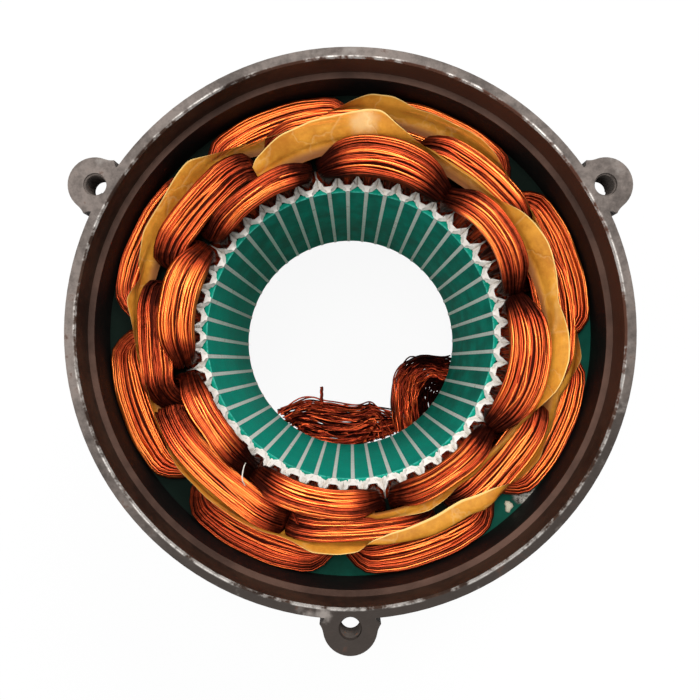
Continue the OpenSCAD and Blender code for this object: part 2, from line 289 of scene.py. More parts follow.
def enamel_finish():
    f = Finish("green_enamel", IOR=1.5, Specular_IOR_Level=0.05)
    x, y, z, radius = f.axes()
    bands = {"wave_type": "BANDS", "bands_direction": "Z", "wave_profile": "SIN"}
    stack = {"Vector": f.at, "Scale": 160.0, "Distortion": 1.4, "Detail": 2.0, "Detail Scale": 2.5}
    sheets = f.at.add("TexWave", bands, stack, out=1)
    streak = (f.at * (1.0, 1.0, 0.22)).noise(130, 4, 0.6)
    patch = f.at.noise(45, 4, 0.6)
    fine = f.at.noise(700, 3, 0.6)
    brushed = (streak * 0.6 + patch * 0.4).band(0.34, 0.68)
    coat = brushed.blend((0.0, 0.16, 0.112), (0.001, 0.345, 0.245))
    # Painted light: the coat is lighter towards the lower left.
    painted_light_low_left = ((x * 0.7 + y).band(0.03, -0.05) * 0.6).blend(coat, (0.0, 0.47, 0.345))
    lined = (sheets.band(0.75, 1.0) * 0.45).blend(painted_light_low_left, (0.0, 0.09, 0.065))
    worn = (patch * 0.5 + fine * 0.5).band(0.63, 0.72) * 0.6
    thin = worn.blend(lined, (0.02, 0.09, 0.07))
    ends = below_rim(z).band(FACE_DEPTH + 0.0018, FACE_DEPTH + 0.0002)
    end_coat = patch.band(0.3, 0.7).blend((0.0, 0.16, 0.10), (0.003, 0.28, 0.19))
    face = ends.blend(thin, end_coat)
    # Painted shade: past the tooth tops the end face goes near black under the coils, a little less at the
    # lower right.
    side = (x * 0.75 - y * 0.66 + (patch - 0.5) * 0.03).band(0.03, 0.085)
    less_shade_low_right = side * radius.band(0.097, 0.104) * 0.2
    ragged = radius + (patch - 0.5) * 0.003 + (fine - 0.5) * 0.003
    under_coil_shade = ragged.band(SHADE_EDGE, SHADE_EDGE + 0.0008) * ends * (0.99 - less_shade_low_right)
    with_under_coil_shade = under_coil_shade.blend(face, (0.004, 0.007, 0.005))
    # A pale line along the bore's edge, partly rubbed and partly a painted highlight.
    ridge = radius.band(0.0710, 0.0702) * ends * fine.band(0.3, 0.6) * 0.55
    worn_and_glint = ridge.blend(with_under_coil_shade, (0.09, 0.52, 0.42))
    near_x, near_y = x - CHIP[0], y - CHIP[1]
    from_chip = (near_x * near_x + near_y * near_y) ** 0.5 + (fine - 0.5) * 0.006 + (patch - 0.5) * 0.006
    chip = from_chip.band(0.0058, 0.0046) * ends
    bare = fine.band(0.35, 0.65).blend((0.04, 0.036, 0.03), (0.34, 0.32, 0.28))
    f.feed(Base_Color=chip.blend(worn_and_glint, bare), Roughness=0.62 + streak * 0.2)
    f.bump(sheets * 0.35 + streak * 0.7 + fine * 0.3, 0.4, 0.0003)
    return f.material


enamel = enamel_finish()
print("finish:", enamel.name, len(enamel.node_tree.nodes), "nodes")

# %% [markdown]
# ## Slot paper
# Slot paper is a stiff, off-white fibre sheet. It has a fine tooth, it yellows a little, and varnish and
# dirt stain it. The strips in the slot mouths are a whiter paper than the cuffs outside, painted light for
# the dim bore, and outside the core all paper is toned towards tan. The lining in the slots is brown, partly
# soaked through and partly painted shade in the slot mouths. Further than about 78 mm from the axis every
# paper is painted near black as shade under the coils. One function makes all three papers.

# %% The paper finish
def paper_finish(name, low, high, spots, aged):
    f = Finish(name, IOR=1.45, Specular_IOR_Level=0.2)
    _, _, z, radius = f.axes()
    fibre = (f.at * (1.0, 1.0, 0.35)).noise(900, 4, 0.65)
    stain = f.at.noise(160, 4, 0.6)
    sheet = (fibre * 0.5 + stain * 0.5).band(0.33, 0.58).blend(low, high)
    soiled = stain.band(0.58, 0.74).blend(sheet, spots)
    outside = below_rim(z).band(FACE_DEPTH + 0.0002, FACE_DEPTH - 0.0006)
    toned_outside = (outside * 0.4).blend(soiled, aged)
    # Painted shade: further than about 78 mm from the axis the paper goes near black under the coils.
    shaded = radius.band(0.0780, 0.0825).blend(toned_outside, (0.03, 0.016, 0.011))
    f.feed(Base_Color=shaded, Roughness=0.72 + fibre * 0.2)
    f.bump(fibre + stain * 0.6, 0.3, 0.0003)
    return f.material


tan, soaked_and_shade = (0.50, 0.43, 0.36), (0.05, 0.022, 0.013)
paper = paper_finish("slot_paper", (0.70, 0.65, 0.58), (0.92, 0.89, 0.84), (0.46, 0.36, 0.27), tan)
# Painted light: the strip paper is whiter, for the dim bore.
strip_paper = paper_finish("strip_paper", (0.86, 0.80, 0.73), (0.97, 0.93, 0.87), (0.62, 0.52, 0.42), tan)
# The soaked paper is dark partly from varnish and partly as painted shade in the slot mouths.
soaked_shaded_paper = paper_finish("soaked_shaded_paper", soaked_and_shade, (0.13, 0.055, 0.032), (0.03, 0.014, 0.009), soaked_and_shade)
print("finishes:", paper.name, strip_paper.name, soaked_shaded_paper.name)

# %% [markdown]
# ## Enamelled copper
# Winding wire is copper under a clear amber enamel, so it shines like metal and is redder than bare copper.
# Each wire has its own tone, which its mesh carries as an attribute. Deep in a bundle, and where a coil
# turns into its slot, the tone makes the wires dark brown, partly soaked varnish and partly painted shade.
# The leads are redder.

# %% The copper finish
def copper_finish(name, glow, mid, shade):
    f = Finish(name, IOR=1.5, Specular_IOR_Level=0.2)
    tone = f.at.add("Attribute", {"attribute_type": "GEOMETRY", "attribute_name": "tone"}, out=2)
    drift = f.at.noise(55, 3, 0.55)
    smear = f.at.noise(420, 3, 0.6)
    lit = tone + (drift - 0.5) * 0.45 + (smear - 0.5) * 0.3
    warm = lit.band(0.38, 0.92).blend(mid, glow)
    shine = 0.42 - lit.band(0.2, 0.9) * 0.12 + lit.band(0.25, 0.0) * 0.2
    f.feed(Base_Color=lit.band(0.40, 0.02).blend(warm, shade),
           Roughness=shine + (smear - 0.5) * 0.1,
           Metallic=0.85 + lit.band(0.3, 0.05) * 0.15)
    f.bump(smear + drift, 0.15, 0.0002)
    return f.material


copper = copper_finish("enamelled_copper", (0.92, 0.225, 0.045), (0.41, 0.052, 0.015),
                       (0.034, 0.0055, 0.0034))
lead_copper = copper_finish("lead_copper", (0.8, 0.12, 0.03), (0.34, 0.036, 0.014), (0.016, 0.0026, 0.002))
print("finishes:", copper.name, lead_copper.name)

# %% [markdown]
# ## Amber film
# The layers of coils are kept apart by strips of varnished film. It is amber, a little see-through, glossy
# in places and milky where it has been creased, with a painted highlight at one fold near the top. The mesh
# carries the place across the strip as an attribute: the cut edge is painted light as a highlight, and the
# side held between the coils is brown, partly varnish and partly painted shade.

# %% The film finish
FOLD = (0.006, 0.0985)


def film_finish():
    f = Finish("amber_film", IOR=1.5, Specular_IOR_Level=0.14)
    x, y, _, _ = f.axes()
    across = f.at.add("Attribute", {"attribute_type": "GEOMETRY", "attribute_name": "tone"}, out=2)
    cloud = f.at.noise(48, 4, 0.6)
    fine = f.at.noise(310, 4, 0.65)
    crease = f.at.add("TexVoronoi", {"feature": "DISTANCE_TO_EDGE"},
                      {"Vector": f.at + (cloud - 0.5) * 0.02, "Scale": 45.0})
    clouded = (cloud * 0.7 + fine * 0.3).band(0.34, 0.66)
    body = clouded.blend((0.42, 0.150, 0.014), (0.66, 0.29, 0.032))
    milky = crease.band(0.035, 0.0) * 0.16 + fine.band(0.6, 0.8) * 0.18
    # Painted highlight: a pale patch at one fold near the top.
    fold_x, fold_y = (x - FOLD[0]) * 0.8, y - FOLD[1]
    from_fold = (fold_x * fold_x + fold_y * fold_y) ** 0.5 + (fine - 0.5) * 0.006
    pale = from_fold.band(0.0075, 0.002) * 0.5
    # Painted highlight along the cut edge; the held side is brown, partly varnish and partly painted shade.
    rim = across.band(0.955, 0.985)
    held = across.band(0.38, 0.05)
    amber = (milky + pale).blend(body, (0.70, 0.50, 0.25))
    browned = held.blend(amber, (0.15, 0.044, 0.004))
    f.feed(Base_Color=rim.blend(browned, (0.72, 0.48, 0.16)),
           Roughness=0.42 + fine * 0.22,
           Alpha=0.76 + cloud * 0.2 + (milky + pale) * 0.2 + rim * 0.2)
    f.bump(cloud * 0.6 + fine * 0.25 - crease.band(0.08, 0.0) * 0.4, 0.35, 0.0008)
    return f.material


film = film_finish()
print("finish:", film.name)

# %% [markdown]
# ## Dressing the solids that stay
# The frame, the core and the slot paper have the right shape as solids, so they stay and only get a finish,
# which goes into their one material slot.

# %% Put the finishes on
def dress(node, material):
    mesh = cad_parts[node].data
    mesh.materials.clear()
    mesh.materials.append(material)


for node in ("frame_barrel", "front_rim", "rear_rim"):
    dress(node, iron)
dress("stator_core", enamel)
dress("slot_liners", soaked_shaded_paper)
dress("slot_strips", strip_paper)
print("dressed:", sum(len(o.data.polygons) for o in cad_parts.values()), "faces")

# %% [markdown]
# ## Meshes from arrays
# A winding has thousands of wire points, so they are worked out as arrays and handed to Blender in one go.
# Wires are tubes along smooth curves through a few stops. A tube carries one direction along its path
# without turning it, so its sides never twist.

# %% Helpers for pieces
def piece(name, points, faces, material, slot, tone=None, smooth=True):
    mesh = bpy.data.meshes.new(name)
    mesh.from_pydata(np.asarray(points).tolist(), [], np.asarray(faces).tolist())
    if tone is not None:
        mesh.attributes.new("tone", "FLOAT", "POINT").data.foreach_set("value", np.asarray(tone, np.float32))
    mesh.polygons.foreach_set("use_smooth", np.full(len(mesh.polygons), smooth))
    mesh.materials.append(material)
    mesh.update()
    made = add_object(name, mesh)
    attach(made, "root")
    return made


def sweep_faces(lines, stations, closed_round=True, closed_along=False):
    """Quads over a grid of points, laid out station by station."""
    i = np.arange(stations if closed_along else stations - 1)[:, None]
    k = np.arange(lines if closed_round else lines - 1)[None, :]
    j, m = (i + 1) % stations, (k + 1) % lines
    return np.stack([i * lines + k, i * lines + m, j * lines + m, j * lines + k], -1).reshape(-1, 4)


def on_machine(a, r, aside, z, end):
    """Points at an angle and radius, moved aside, and z mm over the core's front or rear face."""
    x = r * np.cos(a) - aside * np.sin(a)
    y = r * np.sin(a) + aside * np.cos(a)
    return np.stack([x, y, CORE_MID + end * (CORE_HALF + z)], -1) * MM


print("mesh helpers ready")

# %% Helpers for wires
def smooth_through(stops, count):
    """Even points on smooth curves through stops, an array of curves x stops x 3."""
    stops = np.asarray(stops, float)
    chord = np.linalg.norm(np.diff(stops, axis=1), axis=2).mean(0)
    knots = np.concatenate([[0], np.cumsum(np.maximum(chord, 1e-6))])
    slope = np.gradient(stops, knots, axis=1)
    t = np.linspace(0, knots[-1], count)
    k = np.clip(np.searchsorted(knots, t, side="right") - 1, 0, len(knots) - 2)
    span = (knots[k + 1] - knots[k])[None, :, None]
    u = (t - knots[k])[None, :, None] / span
    a, b, da, db = stops[:, k], stops[:, k + 1], slope[:, k] * span, slope[:, k + 1] * span
    return a + u * da + u * u * (3 * (b - a) - 2 * da - db) + u ** 3 * (2 * (a - b) + da + db)


def tubes(paths, radius, sides):
    """Round wires along paths (wires x points x 3). Returns points and quads."""
    wires, count, _ = paths.shape
    along = np.gradient(paths, axis=1)
    along /= np.linalg.norm(along, axis=2, keepdims=True)
    normal = np.cross(along[:, 0], [0.31, 0.52, 0.79])
    frames = np.empty_like(paths)
    for i in range(count):
        normal = normal - (normal * along[:, i]).sum(1, keepdims=True) * along[:, i]
        normal /= np.linalg.norm(normal, axis=1, keepdims=True)
        frames[:, i] = normal
    other = np.cross(along, frames)
    turn = 2 * np.pi * np.arange(sides) / sides
    ring = frames[:, :, None] * np.cos(turn)[:, None] + other[:, :, None] * np.sin(turn)[:, None]
    points = (paths[:, :, None] + ring * np.asarray(radius).reshape(-1, 1, 1, 1)).reshape(-1, 3)
    quads = sweep_faces(sides, count)
    quads = (quads[None] + (np.arange(wires) * count * sides)[:, None, None]).reshape(-1, 4)
    return points, quads


print("wire helpers ready")

# %% [markdown]
# ## The course of a coil
# Each coil stands straight in two slots five slots apart and crosses over at both ends. The outer layer lies
# flat by the frame wall, the middle layer over it, and the inner layer stands highest, next to the bore. The
# table gives nearly the course of the solids, a little wider where coils meet: share of the half span,
# radius, height over the core, lean and turn of the section, half width and half height, in mm and degrees.
# A coil pulled in by its binding has a smaller reach. One pressed back from the bore has a stand-off, and
# one that leans to a side has a sway.

# %% Course tables
HALF_SPAN, SLOT_PITCH, POLE_PITCH, FIRST_SLOT = 18.75, 7.5, 45.0, 1.0
SLOTS, COILS = 48, 8
TAPER = 0.285
SLOT_ROW = [1, 84.74, 0, 0, 90, 11.14, 2.40]
IN_SLOT = (-7, -2)
COURSES = {
    "outer": (3.25, [
        [1, 89.5, 7.3, -29, 90, 7.4, 3.8],
        [1, 97, 7, -82, 85, 3.7, 5.1],
        [0.96, 103.5, 6.6, -90, 62, 4, 6],
        [0.82, 107, 6.3, -90, 28, 4.1, 7.8],
        [0.5, 107.8, 6.2, -90, 7, 4.1, 8.6],
        [0, 107.8, 6.2, -90, 0, 4.1, 8.7]]),
    "middle": (5, [
        [0.99, 87.3, 10.4, -18, 84, 8.6, 3.3],
        [0.95, 93.7, 14.5, -15, 52, 8, 3.9],
        [0.72, 96.5, 15.6, -4, 20, 8.8, 4.1],
        [0.35, 97, 15.7, 0, 4, 9.5, 4.1],
        [0, 97, 15.7, 0, 0, 9.5, 4.1]]),
    "inner": (5, [
        [0.985, 80.6, 10.5, 4, 80, 6.8, 5.0],
        [0.96, 79.3, 16.3, 8, 50, 5.7, 5.4],
        [0.75, 81, 20.6, 9, 22, 8.6, 4.4],
        [0.4, 82.3, 22.3, 9, 6, 9.8, 4.4],
        [0, 82.5, 22.5, 9, 0, 10, 4.4]]),
}
LAYERS = ("outer", "middle", "inner")
REACH = {
    "outer": [1] * COILS,
    "middle": [1.0, 0.97, 1.0, 0.80, 0.70, 0.64, 0.55, 0.84],
    "inner": [1.09, 0.95, 1.05, 0.62, 0.90, 0.55, 0.70, 0.64],
}
STAND_OFF = {
    "outer": [0] * COILS,
    "middle": [0, 0, 0, -1.5, -3, -3.5, -2.5, -2],
    "inner": [1.8, 4.5, 1.0, 0.6, 0, -2.4, 0, 0.5],
}
SWAY = {
    ("middle", 4): (0, -6), ("middle", 5): (9, 2), ("middle", 6): (4, 0),
    ("inner", 0): (3, 3), ("inner", 2): (4, 0), ("inner", 5): (0, -3.5), ("inner", 6): (4, 0),
}
print("coils:", len(LAYERS) * COILS, "of them swayed:", len(SWAY))

# %% Lay lines along a coil
def coil_angle(layer, number):
    return FIRST_SLOT + HALF_SPAN - 2 * LAYERS.index(layer) * SLOT_PITCH + number * POLE_PITCH


def sway_of(layer, number):
    """Degrees by which a coil's two sides bulge outwards."""
    return SWAY.get((layer, number), (0, 0))


def course_rows(layer):
    """All rows of an end turn, slot to slot, with the side they lie on."""
    rise, course = COURSES[layer]
    legs = [[*SLOT_ROW[:2], h, *SLOT_ROW[3:]] for h in (*IN_SLOT, rise)]
    half = legs + course
    return np.array(half + half[-2::-1], float), np.array([-1.0] * len(half) + [1.0] * (len(half) - 1))


def lay_lines(layer, number, end, p, q, inset):
    """Points of lines along an end turn. P and q, from -1 to 1, place each line in the bundle."""
    rows, side = course_rows(layer)
    share, radius, height, lean, turn, half_w, half_h = rows.T
    lean, turn = np.radians(lean), np.radians(turn)
    crossing = 1 - np.sin(turn)
    stand_off = STAND_OFF[layer][number] if end > 0 else max(STAND_OFF[layer][number], 0)
    cut_out = half_w * (1 - REACH[layer][number]) * crossing
    cut_in = 0.5 * stand_off * crossing
    radius = radius - (cut_out - cut_in) * np.cos(lean)
    wide = p * (half_w - cut_out - cut_in - inset)
    high = q * (half_h - inset) * (1 + TAPER * np.sin(turn) * p)
    r = radius + wide * np.cos(lean) - high * np.cos(turn) * np.sin(lean)
    z = height + wide * np.sin(lean) + high * np.cos(turn) * np.cos(lean)
    bulge = np.where(side < 0, *sway_of(layer, number)) * np.sin(2 * turn)
    a = np.radians(coil_angle(layer, number) + side * (share * HALF_SPAN + bulge))
    return on_machine(a, r, side * high * np.sin(turn), z, end)


print("rows per end turn:", {name: len(course_rows(name)[0]) for name in LAYERS})

# %% [markdown]
# ## Winding the coils
# A coil gets 48 wires round its outside and a thinner layer beneath. Each wire starts at its own place round
# the bundle, drifts a little, and now and then lies proud, the way hand-laid turns do. Under them a dark
# core fills the bundle as painted shade, so the gaps between wires show dark and no light shows through. The
# rear end is out of sight and gets fewer, thicker strands.

# %% Wires of a coil
WIRE_R = 0.55 * MM
CORE_SIDES, CORE_INSET = 10, 1.15
ANY_PHASE = 6.28


def squarish(value):
    """Pushes a sine outwards, so that the bundle is squarer than an oval."""
    return np.sign(value) * np.abs(value) ** 0.7


def bundle_spots(count, shape, random):
    """Places round a bundle of a width and height, evenly spread with some disorder."""
    turn = np.linspace(0, 2 * np.pi, 721)
    px, qy = squarish(np.cos(turn)) * shape[0], squarish(np.sin(turn)) * shape[1]
    run = np.concatenate([[0], np.cumsum(np.hypot(np.diff(px), np.diff(qy)))])
    even = (np.arange(count) + 0.3 * random.uniform(-1, 1, count)) / count
    return np.interp((even % 1) * run[-1], run, turn)


def wires_of_coil(layer, number, end, count, random, under):
    """Stops of the wires on one end turn. Under is how deep they lie in the bundle, in mm."""
    rows = len(course_rows(layer)[0])
    shape = (6, 8) if layer == "outer" else (10, 5)
    spot = bundle_spots(count, shape, random)[:, None]
    way = np.linspace(0, 1, rows)[None, :]
    drift = random.normal(0, 0.07, (count, 1))
    drift = drift * np.sin(np.pi * way + random.uniform(0, ANY_PHASE, (count, 1)))
    twist = random.normal(0, 0.05, (count, 1)) * (way - 0.5) * 2 + random.normal(0, 0.02, (count, rows))
    turn = spot + drift + twist
    depth = 1 - np.abs(random.normal(0, 0.06, (count, 1))) + random.normal(0, 0.012, (count, rows))
    proud = (random.random((count, 1)) > 0.93) * 0.10 * np.sin(np.pi * way) ** 2
    p = squarish(np.cos(turn)) * (depth + proud * 0.5)
    q = squarish(np.sin(turn)) * (depth + proud)
    return lay_lines(layer, number, end, p, q, WIRE_R / MM + under)


def core_of_coil(layer, number):
    """A dark closed loop inside the wires, through both slots, as painted shade between them."""
    turn = 2 * np.pi * np.arange(CORE_SIDES) / CORE_SIDES
    p, q = np.cos(turn)[:, None], np.sin(turn)[:, None]
    front, rear = (smooth_through(lay_lines(layer, number, end, p, q, CORE_INSET), 26) for end in (1, -1))
    loop = np.concatenate([front, rear[:, ::-1]], axis=1)
    return loop.transpose(1, 0, 2).reshape(-1, 3), sweep_faces(CORE_SIDES, loop.shape[1], True, True)


print("wire radius", round(WIRE_R / MM, 2), "mm")

# %% [markdown]
# The tone of a wire says how bright its copper is. Each coil is shifted lighter or darker by its own share,
# each wire in it differs a little, and deeper in the bundle and towards the slots all of them go dark,
# partly soaked varnish and partly painted shade.

# %% Wind the layers
STRANDS = (  # end, wires, points along a wire, sides of a wire, depth in the bundle
    (1, 48, 35, 4, 0),
    (1, 26, 28, 3, 0.8),
    (-1, 32, 20, 4, 0),
)
REAR_STRAND = 1.25
# How dark each layer's coils go towards their slots, partly soaked varnish and partly painted shade.
DARK_END = {"outer": 0.6, "middle": 0.95, "inner": 1.0}
# How much lighter (+) or darker (-) each coil's wires are.
COIL_SHIFT = {
    "outer": [0.12, 0.08, 0, 0.06, 0.15, -0.15, -0.05, 0.15],
    "middle": [0, -0.1, 0, -0.04, -0.18, 0.06, 0.1, 0.12],
    "inner": [0, -0.1, -0.22, -0.2, 0.2, 0, 0, 0],
}
SLOT_TONE, CORE_TONE, NEAR_SLOT = 0.14, -0.3, 9


def tone_of_wires(layer, number, end, paths, under, random):
    """Tone at every point: bright on the crown, dark towards the slots and deeper in the bundle, partly
    painted shade.
    """
    lift = np.clip((end * (paths[:, :, 2] / MM - CORE_MID) - CORE_HALF) / 6, 0, 1)
    away = np.degrees(np.arctan2(paths[:, :, 1], paths[:, :, 0])) - coil_angle(layer, number)
    away = (away + 180) % 360 - 180
    away = np.abs(away) / (HALF_SPAN + np.where(away < 0, *sway_of(layer, number)))
    dark = DARK_END[layer] * np.clip((away - 0.45) / 0.42, 0, 1) ** 1.2
    # Wires deeper in the bundle are darker, as painted shade.
    own = random.normal(0.58 + COIL_SHIFT[layer][number] - 0.4 * under, 0.28, (len(paths), 1))
    return np.clip(own, 0.2, 1.1) * (SLOT_TONE + (1 - SLOT_TONE) * lift * (1 - dark))


def wind_layer(layer, seed):
    random = np.random.default_rng(seed)
    points, faces, tones, start = [], [], [], 0
    for number in range(COILS):
        meshes = []
        for end, count, samples, sides, under in STRANDS:
            paths = smooth_through(wires_of_coil(layer, number, end, count, random, under), samples)
            radius = WIRE_R * random.uniform(0.93, 1.07, count) * (1 if end > 0 else REAR_STRAND)
            tone = tone_of_wires(layer, number, end, paths, under, random)
            meshes.append((*tubes(paths, radius, sides), np.repeat(tone.reshape(-1), sides)))
        spots, quads = core_of_coil(layer, number)
        near_slot = np.abs(spots[:, 2] / MM - CORE_MID) < CORE_HALF + NEAR_SLOT
        meshes.append((spots, quads, np.where(near_slot, SLOT_TONE, CORE_TONE)))
        for spots, quads, tone in meshes:
            points.append(spots)
            faces.append(quads + start)
            tones.append(tone)
            start += len(spots)
    made = piece("coils_" + layer, np.concatenate(points), np.concatenate(faces), copper, "winding_copper",
                 np.concatenate(tones))
    letter = "abc"[LAYERS.index(layer)]
    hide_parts(*[f"coil_{letter}{n + 1}" for n in range(COILS)])
    return made


for seed, layer in enumerate(LAYERS):
    coils = wind_layer(layer, seed=11 + seed)
    print(coils.name, 2 * len(coils.data.polygons), "triangles")

# %% [markdown]
# ## Films between the layers
# Each film is a long strip, pushed in flat between two layers and turned up beside the upper one. Its free
# edge waves in and out: here it hugs the coils, there it stands off in a fold. A short table gives that
# edge's radius round the machine. Where the film turns up depends on the reach of the coil beside it.

# %% Film tables
OUTER_EDGE = [
    (-84, 96.5), (-78, 94.6), (-67, 93), (-56, 93), (-47, 98), (-42, 103), (-38, 104.5), (-33, 106),
    (-25, 103.5), (-17, 101.5), (-12, 105), (-6, 108.6), (-2, 107), (5, 103), (20, 100), (37, 102.7),
    (45, 104), (51, 109), (55, 110.6), (62, 110.2), (70, 110.2), (74, 109.8), (80, 113.2), (85, 112.5),
    (94, 105.5), (105, 99.5), (117, 100), (125, 104.5), (133, 111.4), (138, 110.5), (144, 108.4),
    (154, 107.8), (161, 104.4), (165, 100.8), (171, 106), (179, 102.2), (188, 99), (198, 98.2), (210, 100),
    (217, 102), (231, 101.6), (240, 101.2), (250, 100.2), (255, 101.4), (260, 104.2), (267, 103.4),
    (272, 102),
]
INNER_EDGE = [
    (-86, 86), (-76, 87), (-66, 89.4), (-55, 86), (-43, 85), (-27, 88.5), (-16, 98.2), (-12, 100), (-7, 102),
    (0, 100.8), (8, 97), (15, 98.6), (21, 100), (25, 100.2), (30, 99), (36, 96.2), (44, 91.6), (55, 90.8),
    (63, 91), (71, 94), (78, 99.6), (82, 103.8), (86, 104), (92, 101.6), (100, 99.8), (109, 96.8),
    (119, 91.5), (121, 88.5), (126, 86.5), (150, 86), (180, 85.5), (220, 85.5), (250, 85.5), (270, 86),
]
PLAIN_LEAN = 1.8
LEAN = [(-95, PLAIN_LEAN), (-82, 5.5), (-72, 8), (-52, 8), (-43, PLAIN_LEAN), (0, PLAIN_LEAN),
        (180, PLAIN_LEAN)]
CROWNS = {"middle": (87.5, 19.0), "inner": (72.6, 19.75)}


def edge_at(table, degrees):
    """Smooth radius of a free edge at each angle."""
    place, radius = np.array(table, float).T
    fine = np.arange(-180, 541, 0.5)
    window = np.hanning(9)
    soft = np.convolve(np.interp(fine, place, radius, period=360), window / window.sum(), mode="same")
    return np.interp(degrees % 360, fine, soft)


def beside(layer, degrees):
    """Radius just outside the crowns of a layer."""
    inner, width = CROWNS[layer]
    crowns = [(coil_angle(layer, n), inner + width * REACH[layer][n] + 0.9) for n in range(COILS)]
    return np.interp(degrees, *np.array(crowns).T, period=360)


print("edge of the outer film:", edge_at(OUTER_EDGE, np.array([0.0, 80, 165, 250])).round(1))

# %% [markdown]
# In section the film starts flat between the layers, bends up past the upper layer's edge and goes on to its
# free edge, with waves that grow on the way. A curve through five points does that. The inner film is one
# strip, cut at the upper left. It runs round by the right to the bottom and in under the coils.

# %% Shape of a film
CUT = 120.5
TUCKED = [(76.0, 17.3), (78.0, 17.4), (80.0, 17.5), (81.7, 17.6), (83.4, 17.7)]
STEPS, ACROSS = 480, 13
REAR_TURN = 137
WAVES = ((5, 0.5), (9, 0.5), (14, 0.4), (23, 0.3), (38, 0.2))


def film_points(table, over, flat_z, tip_z, end, seed):
    """Points of a film, steps x across x 3, in metres."""
    random = np.random.default_rng(seed)
    cut = over == "inner"
    look = CUT - np.linspace(0, CUT + 95 if cut else 360, STEPS, endpoint=cut)
    degrees = look + (0 if end > 0 else REAR_TURN)
    a = np.radians(degrees)
    tip = edge_at(table, look)
    lean = np.full(STEPS, PLAIN_LEAN) if cut else np.interp(look, *np.array(LEAN, float).T, period=360)
    over_it = np.clip((lean - PLAIN_LEAN) / 4, 0, 1)
    bend = np.minimum(beside(over, degrees), tip + lean)
    phase = random.uniform(0, ANY_PHASE, len(WAVES))
    wave = sum(np.sin(n * a + s) * w for (n, w), s in zip(WAVES, phase))
    base = 2.4 + 3.8 * np.clip((look + 5) / 35, 0, 1) if cut else 6.0
    rise = tip_z + 0.7 * wave + over_it
    half_r = 0.45 * tip + 0.55 * bend + over_it * 0.4 * (bend - tip)
    half_z = 0.5 * rise + 0.5 * (flat_z + 2.8) + over_it * 4.2
    radii = [bend - base, bend - (1.0 if cut else 1.9), bend, half_r, tip]
    heights = [np.full(STEPS, flat_z + up) for up in (0, 0.2, 2.0)] + [half_z, rise]
    stops = np.stack([np.stack(radii, -1), np.stack(heights, -1)], -1)
    shown = np.clip((look + 94) / 12, 0, 1)[:, None, None] if cut else np.ones((STEPS, 1, 1))
    stops = shown * stops + (1 - shown) * np.array(TUCKED)
    line = smooth_through(np.concatenate([stops, np.zeros((STEPS, 5, 1))], -1), ACROSS)
    grow = np.linspace(0, 1, ACROSS)[None, :] ** 2 * shown[:, :, 0]
    return on_machine(a[:, None], line[:, :, 0] + grow * wave[:, None] * 0.3, 0, line[:, :, 1], end)


print("film steps:", STEPS, "round and", ACROSS, "across")

# %% Make the films
def film_sheet(node, table, over, flat_z, tip_z, end, seed):
    cut = over == "inner"
    points = film_points(table, over, flat_z, tip_z, end, seed)
    tone = np.tile(np.linspace(0, 1, ACROSS), STEPS)
    faces = sweep_faces(ACROSS, STEPS, False, not cut)
    made = piece(node + "_sheet", points.reshape(-1, 3), faces, film, "phase_film", tone)
    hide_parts(node)


outer_strip = (OUTER_EDGE, "middle", 10.97)
inner_strip = (INNER_EDGE, "inner", 20.1)
film_sheet("film_outer_front", *outer_strip, tip_z=20.2, end=1, seed=3)
film_sheet("film_inner_front", *inner_strip, tip_z=26.8, end=1, seed=4)
film_sheet("film_outer_rear", *outer_strip, tip_z=20.0, end=-1, seed=5)
film_sheet("film_inner_rear", *inner_strip, tip_z=26.5, end=-1, seed=6)

# %% [markdown]
# ## Paper cuffs
# Where the slot paper comes out of the core it is slit and folded back over the teeth, so that the wires
# can't chafe on the steel. Each cuff is a patch between two lines: one runs round the oval where the wires
# come out, the other down the middle of the teeth and along the torn edge by the bore. Rows between them
# rise, roll over and come down on the tooth. Low on the ring the paper lies flatter. Dark wires bulge out
# of each slot, partly soaked with varnish and partly painted shade.

# %% Lines of a cuff
SIDE_POINTS, TORN_POINTS = 9, 15
HALF_TOOTH = math.radians(SLOT_PITCH / 2)
CUFF_TOP, OVAL_SIDE, OVAL_FOOT, OVAL_HALF = 81.5, 74.8, 71.9, 2.35
FOLD_FOOT, TORN_FOOT = 73.0, 70.3


def cuff_lines(random, a):
    """The oval line and the outer line of one cuff, as (aside, radius) points."""
    up = np.linspace(CUFF_TOP, OVAL_SIDE, SIDE_POINTS)
    bow = np.linspace(-1, 1, TORN_POINTS)
    half = np.minimum(OVAL_HALF + (up - OVAL_SIDE) * random.uniform(0.75, 1.0), up * HALF_TOOTH - 0.35)
    foot = OVAL_FOOT + (OVAL_SIDE - OVAL_FOOT) * np.abs(bow) ** 1.5
    aside = np.concatenate([-half, OVAL_HALF * bow, half[::-1]])
    oval = np.stack([aside, np.concatenate([up, foot, up[::-1]])], -1)
    down = np.linspace(CUFF_TOP, FOLD_FOOT, SIDE_POINTS)
    middle = down * HALF_TOOTH
    low = min(max(-1.6 * math.sin(a) - 0.6, 0), 1)
    ragged = random.normal(0, 0.22 + 0.25 * low, TORN_POINTS) * (np.abs(bow) > 0.3)
    over_tooth = (2.5 - 1.3 * low) * np.clip((np.abs(bow) - 0.2) / 0.8, 0, 1)
    torn = TORN_FOOT + over_tooth + np.maximum(ragged, -0.2)
    aside = np.concatenate([-middle, bow * torn * HALF_TOOTH, middle[::-1]])
    outer = np.stack([aside, np.concatenate([down, torn, down[::-1]])], -1)
    return oval, outer + random.normal(0, 0.08, outer.shape)


print("points round a cuff:", 2 * SIDE_POINTS + TORN_POINTS)

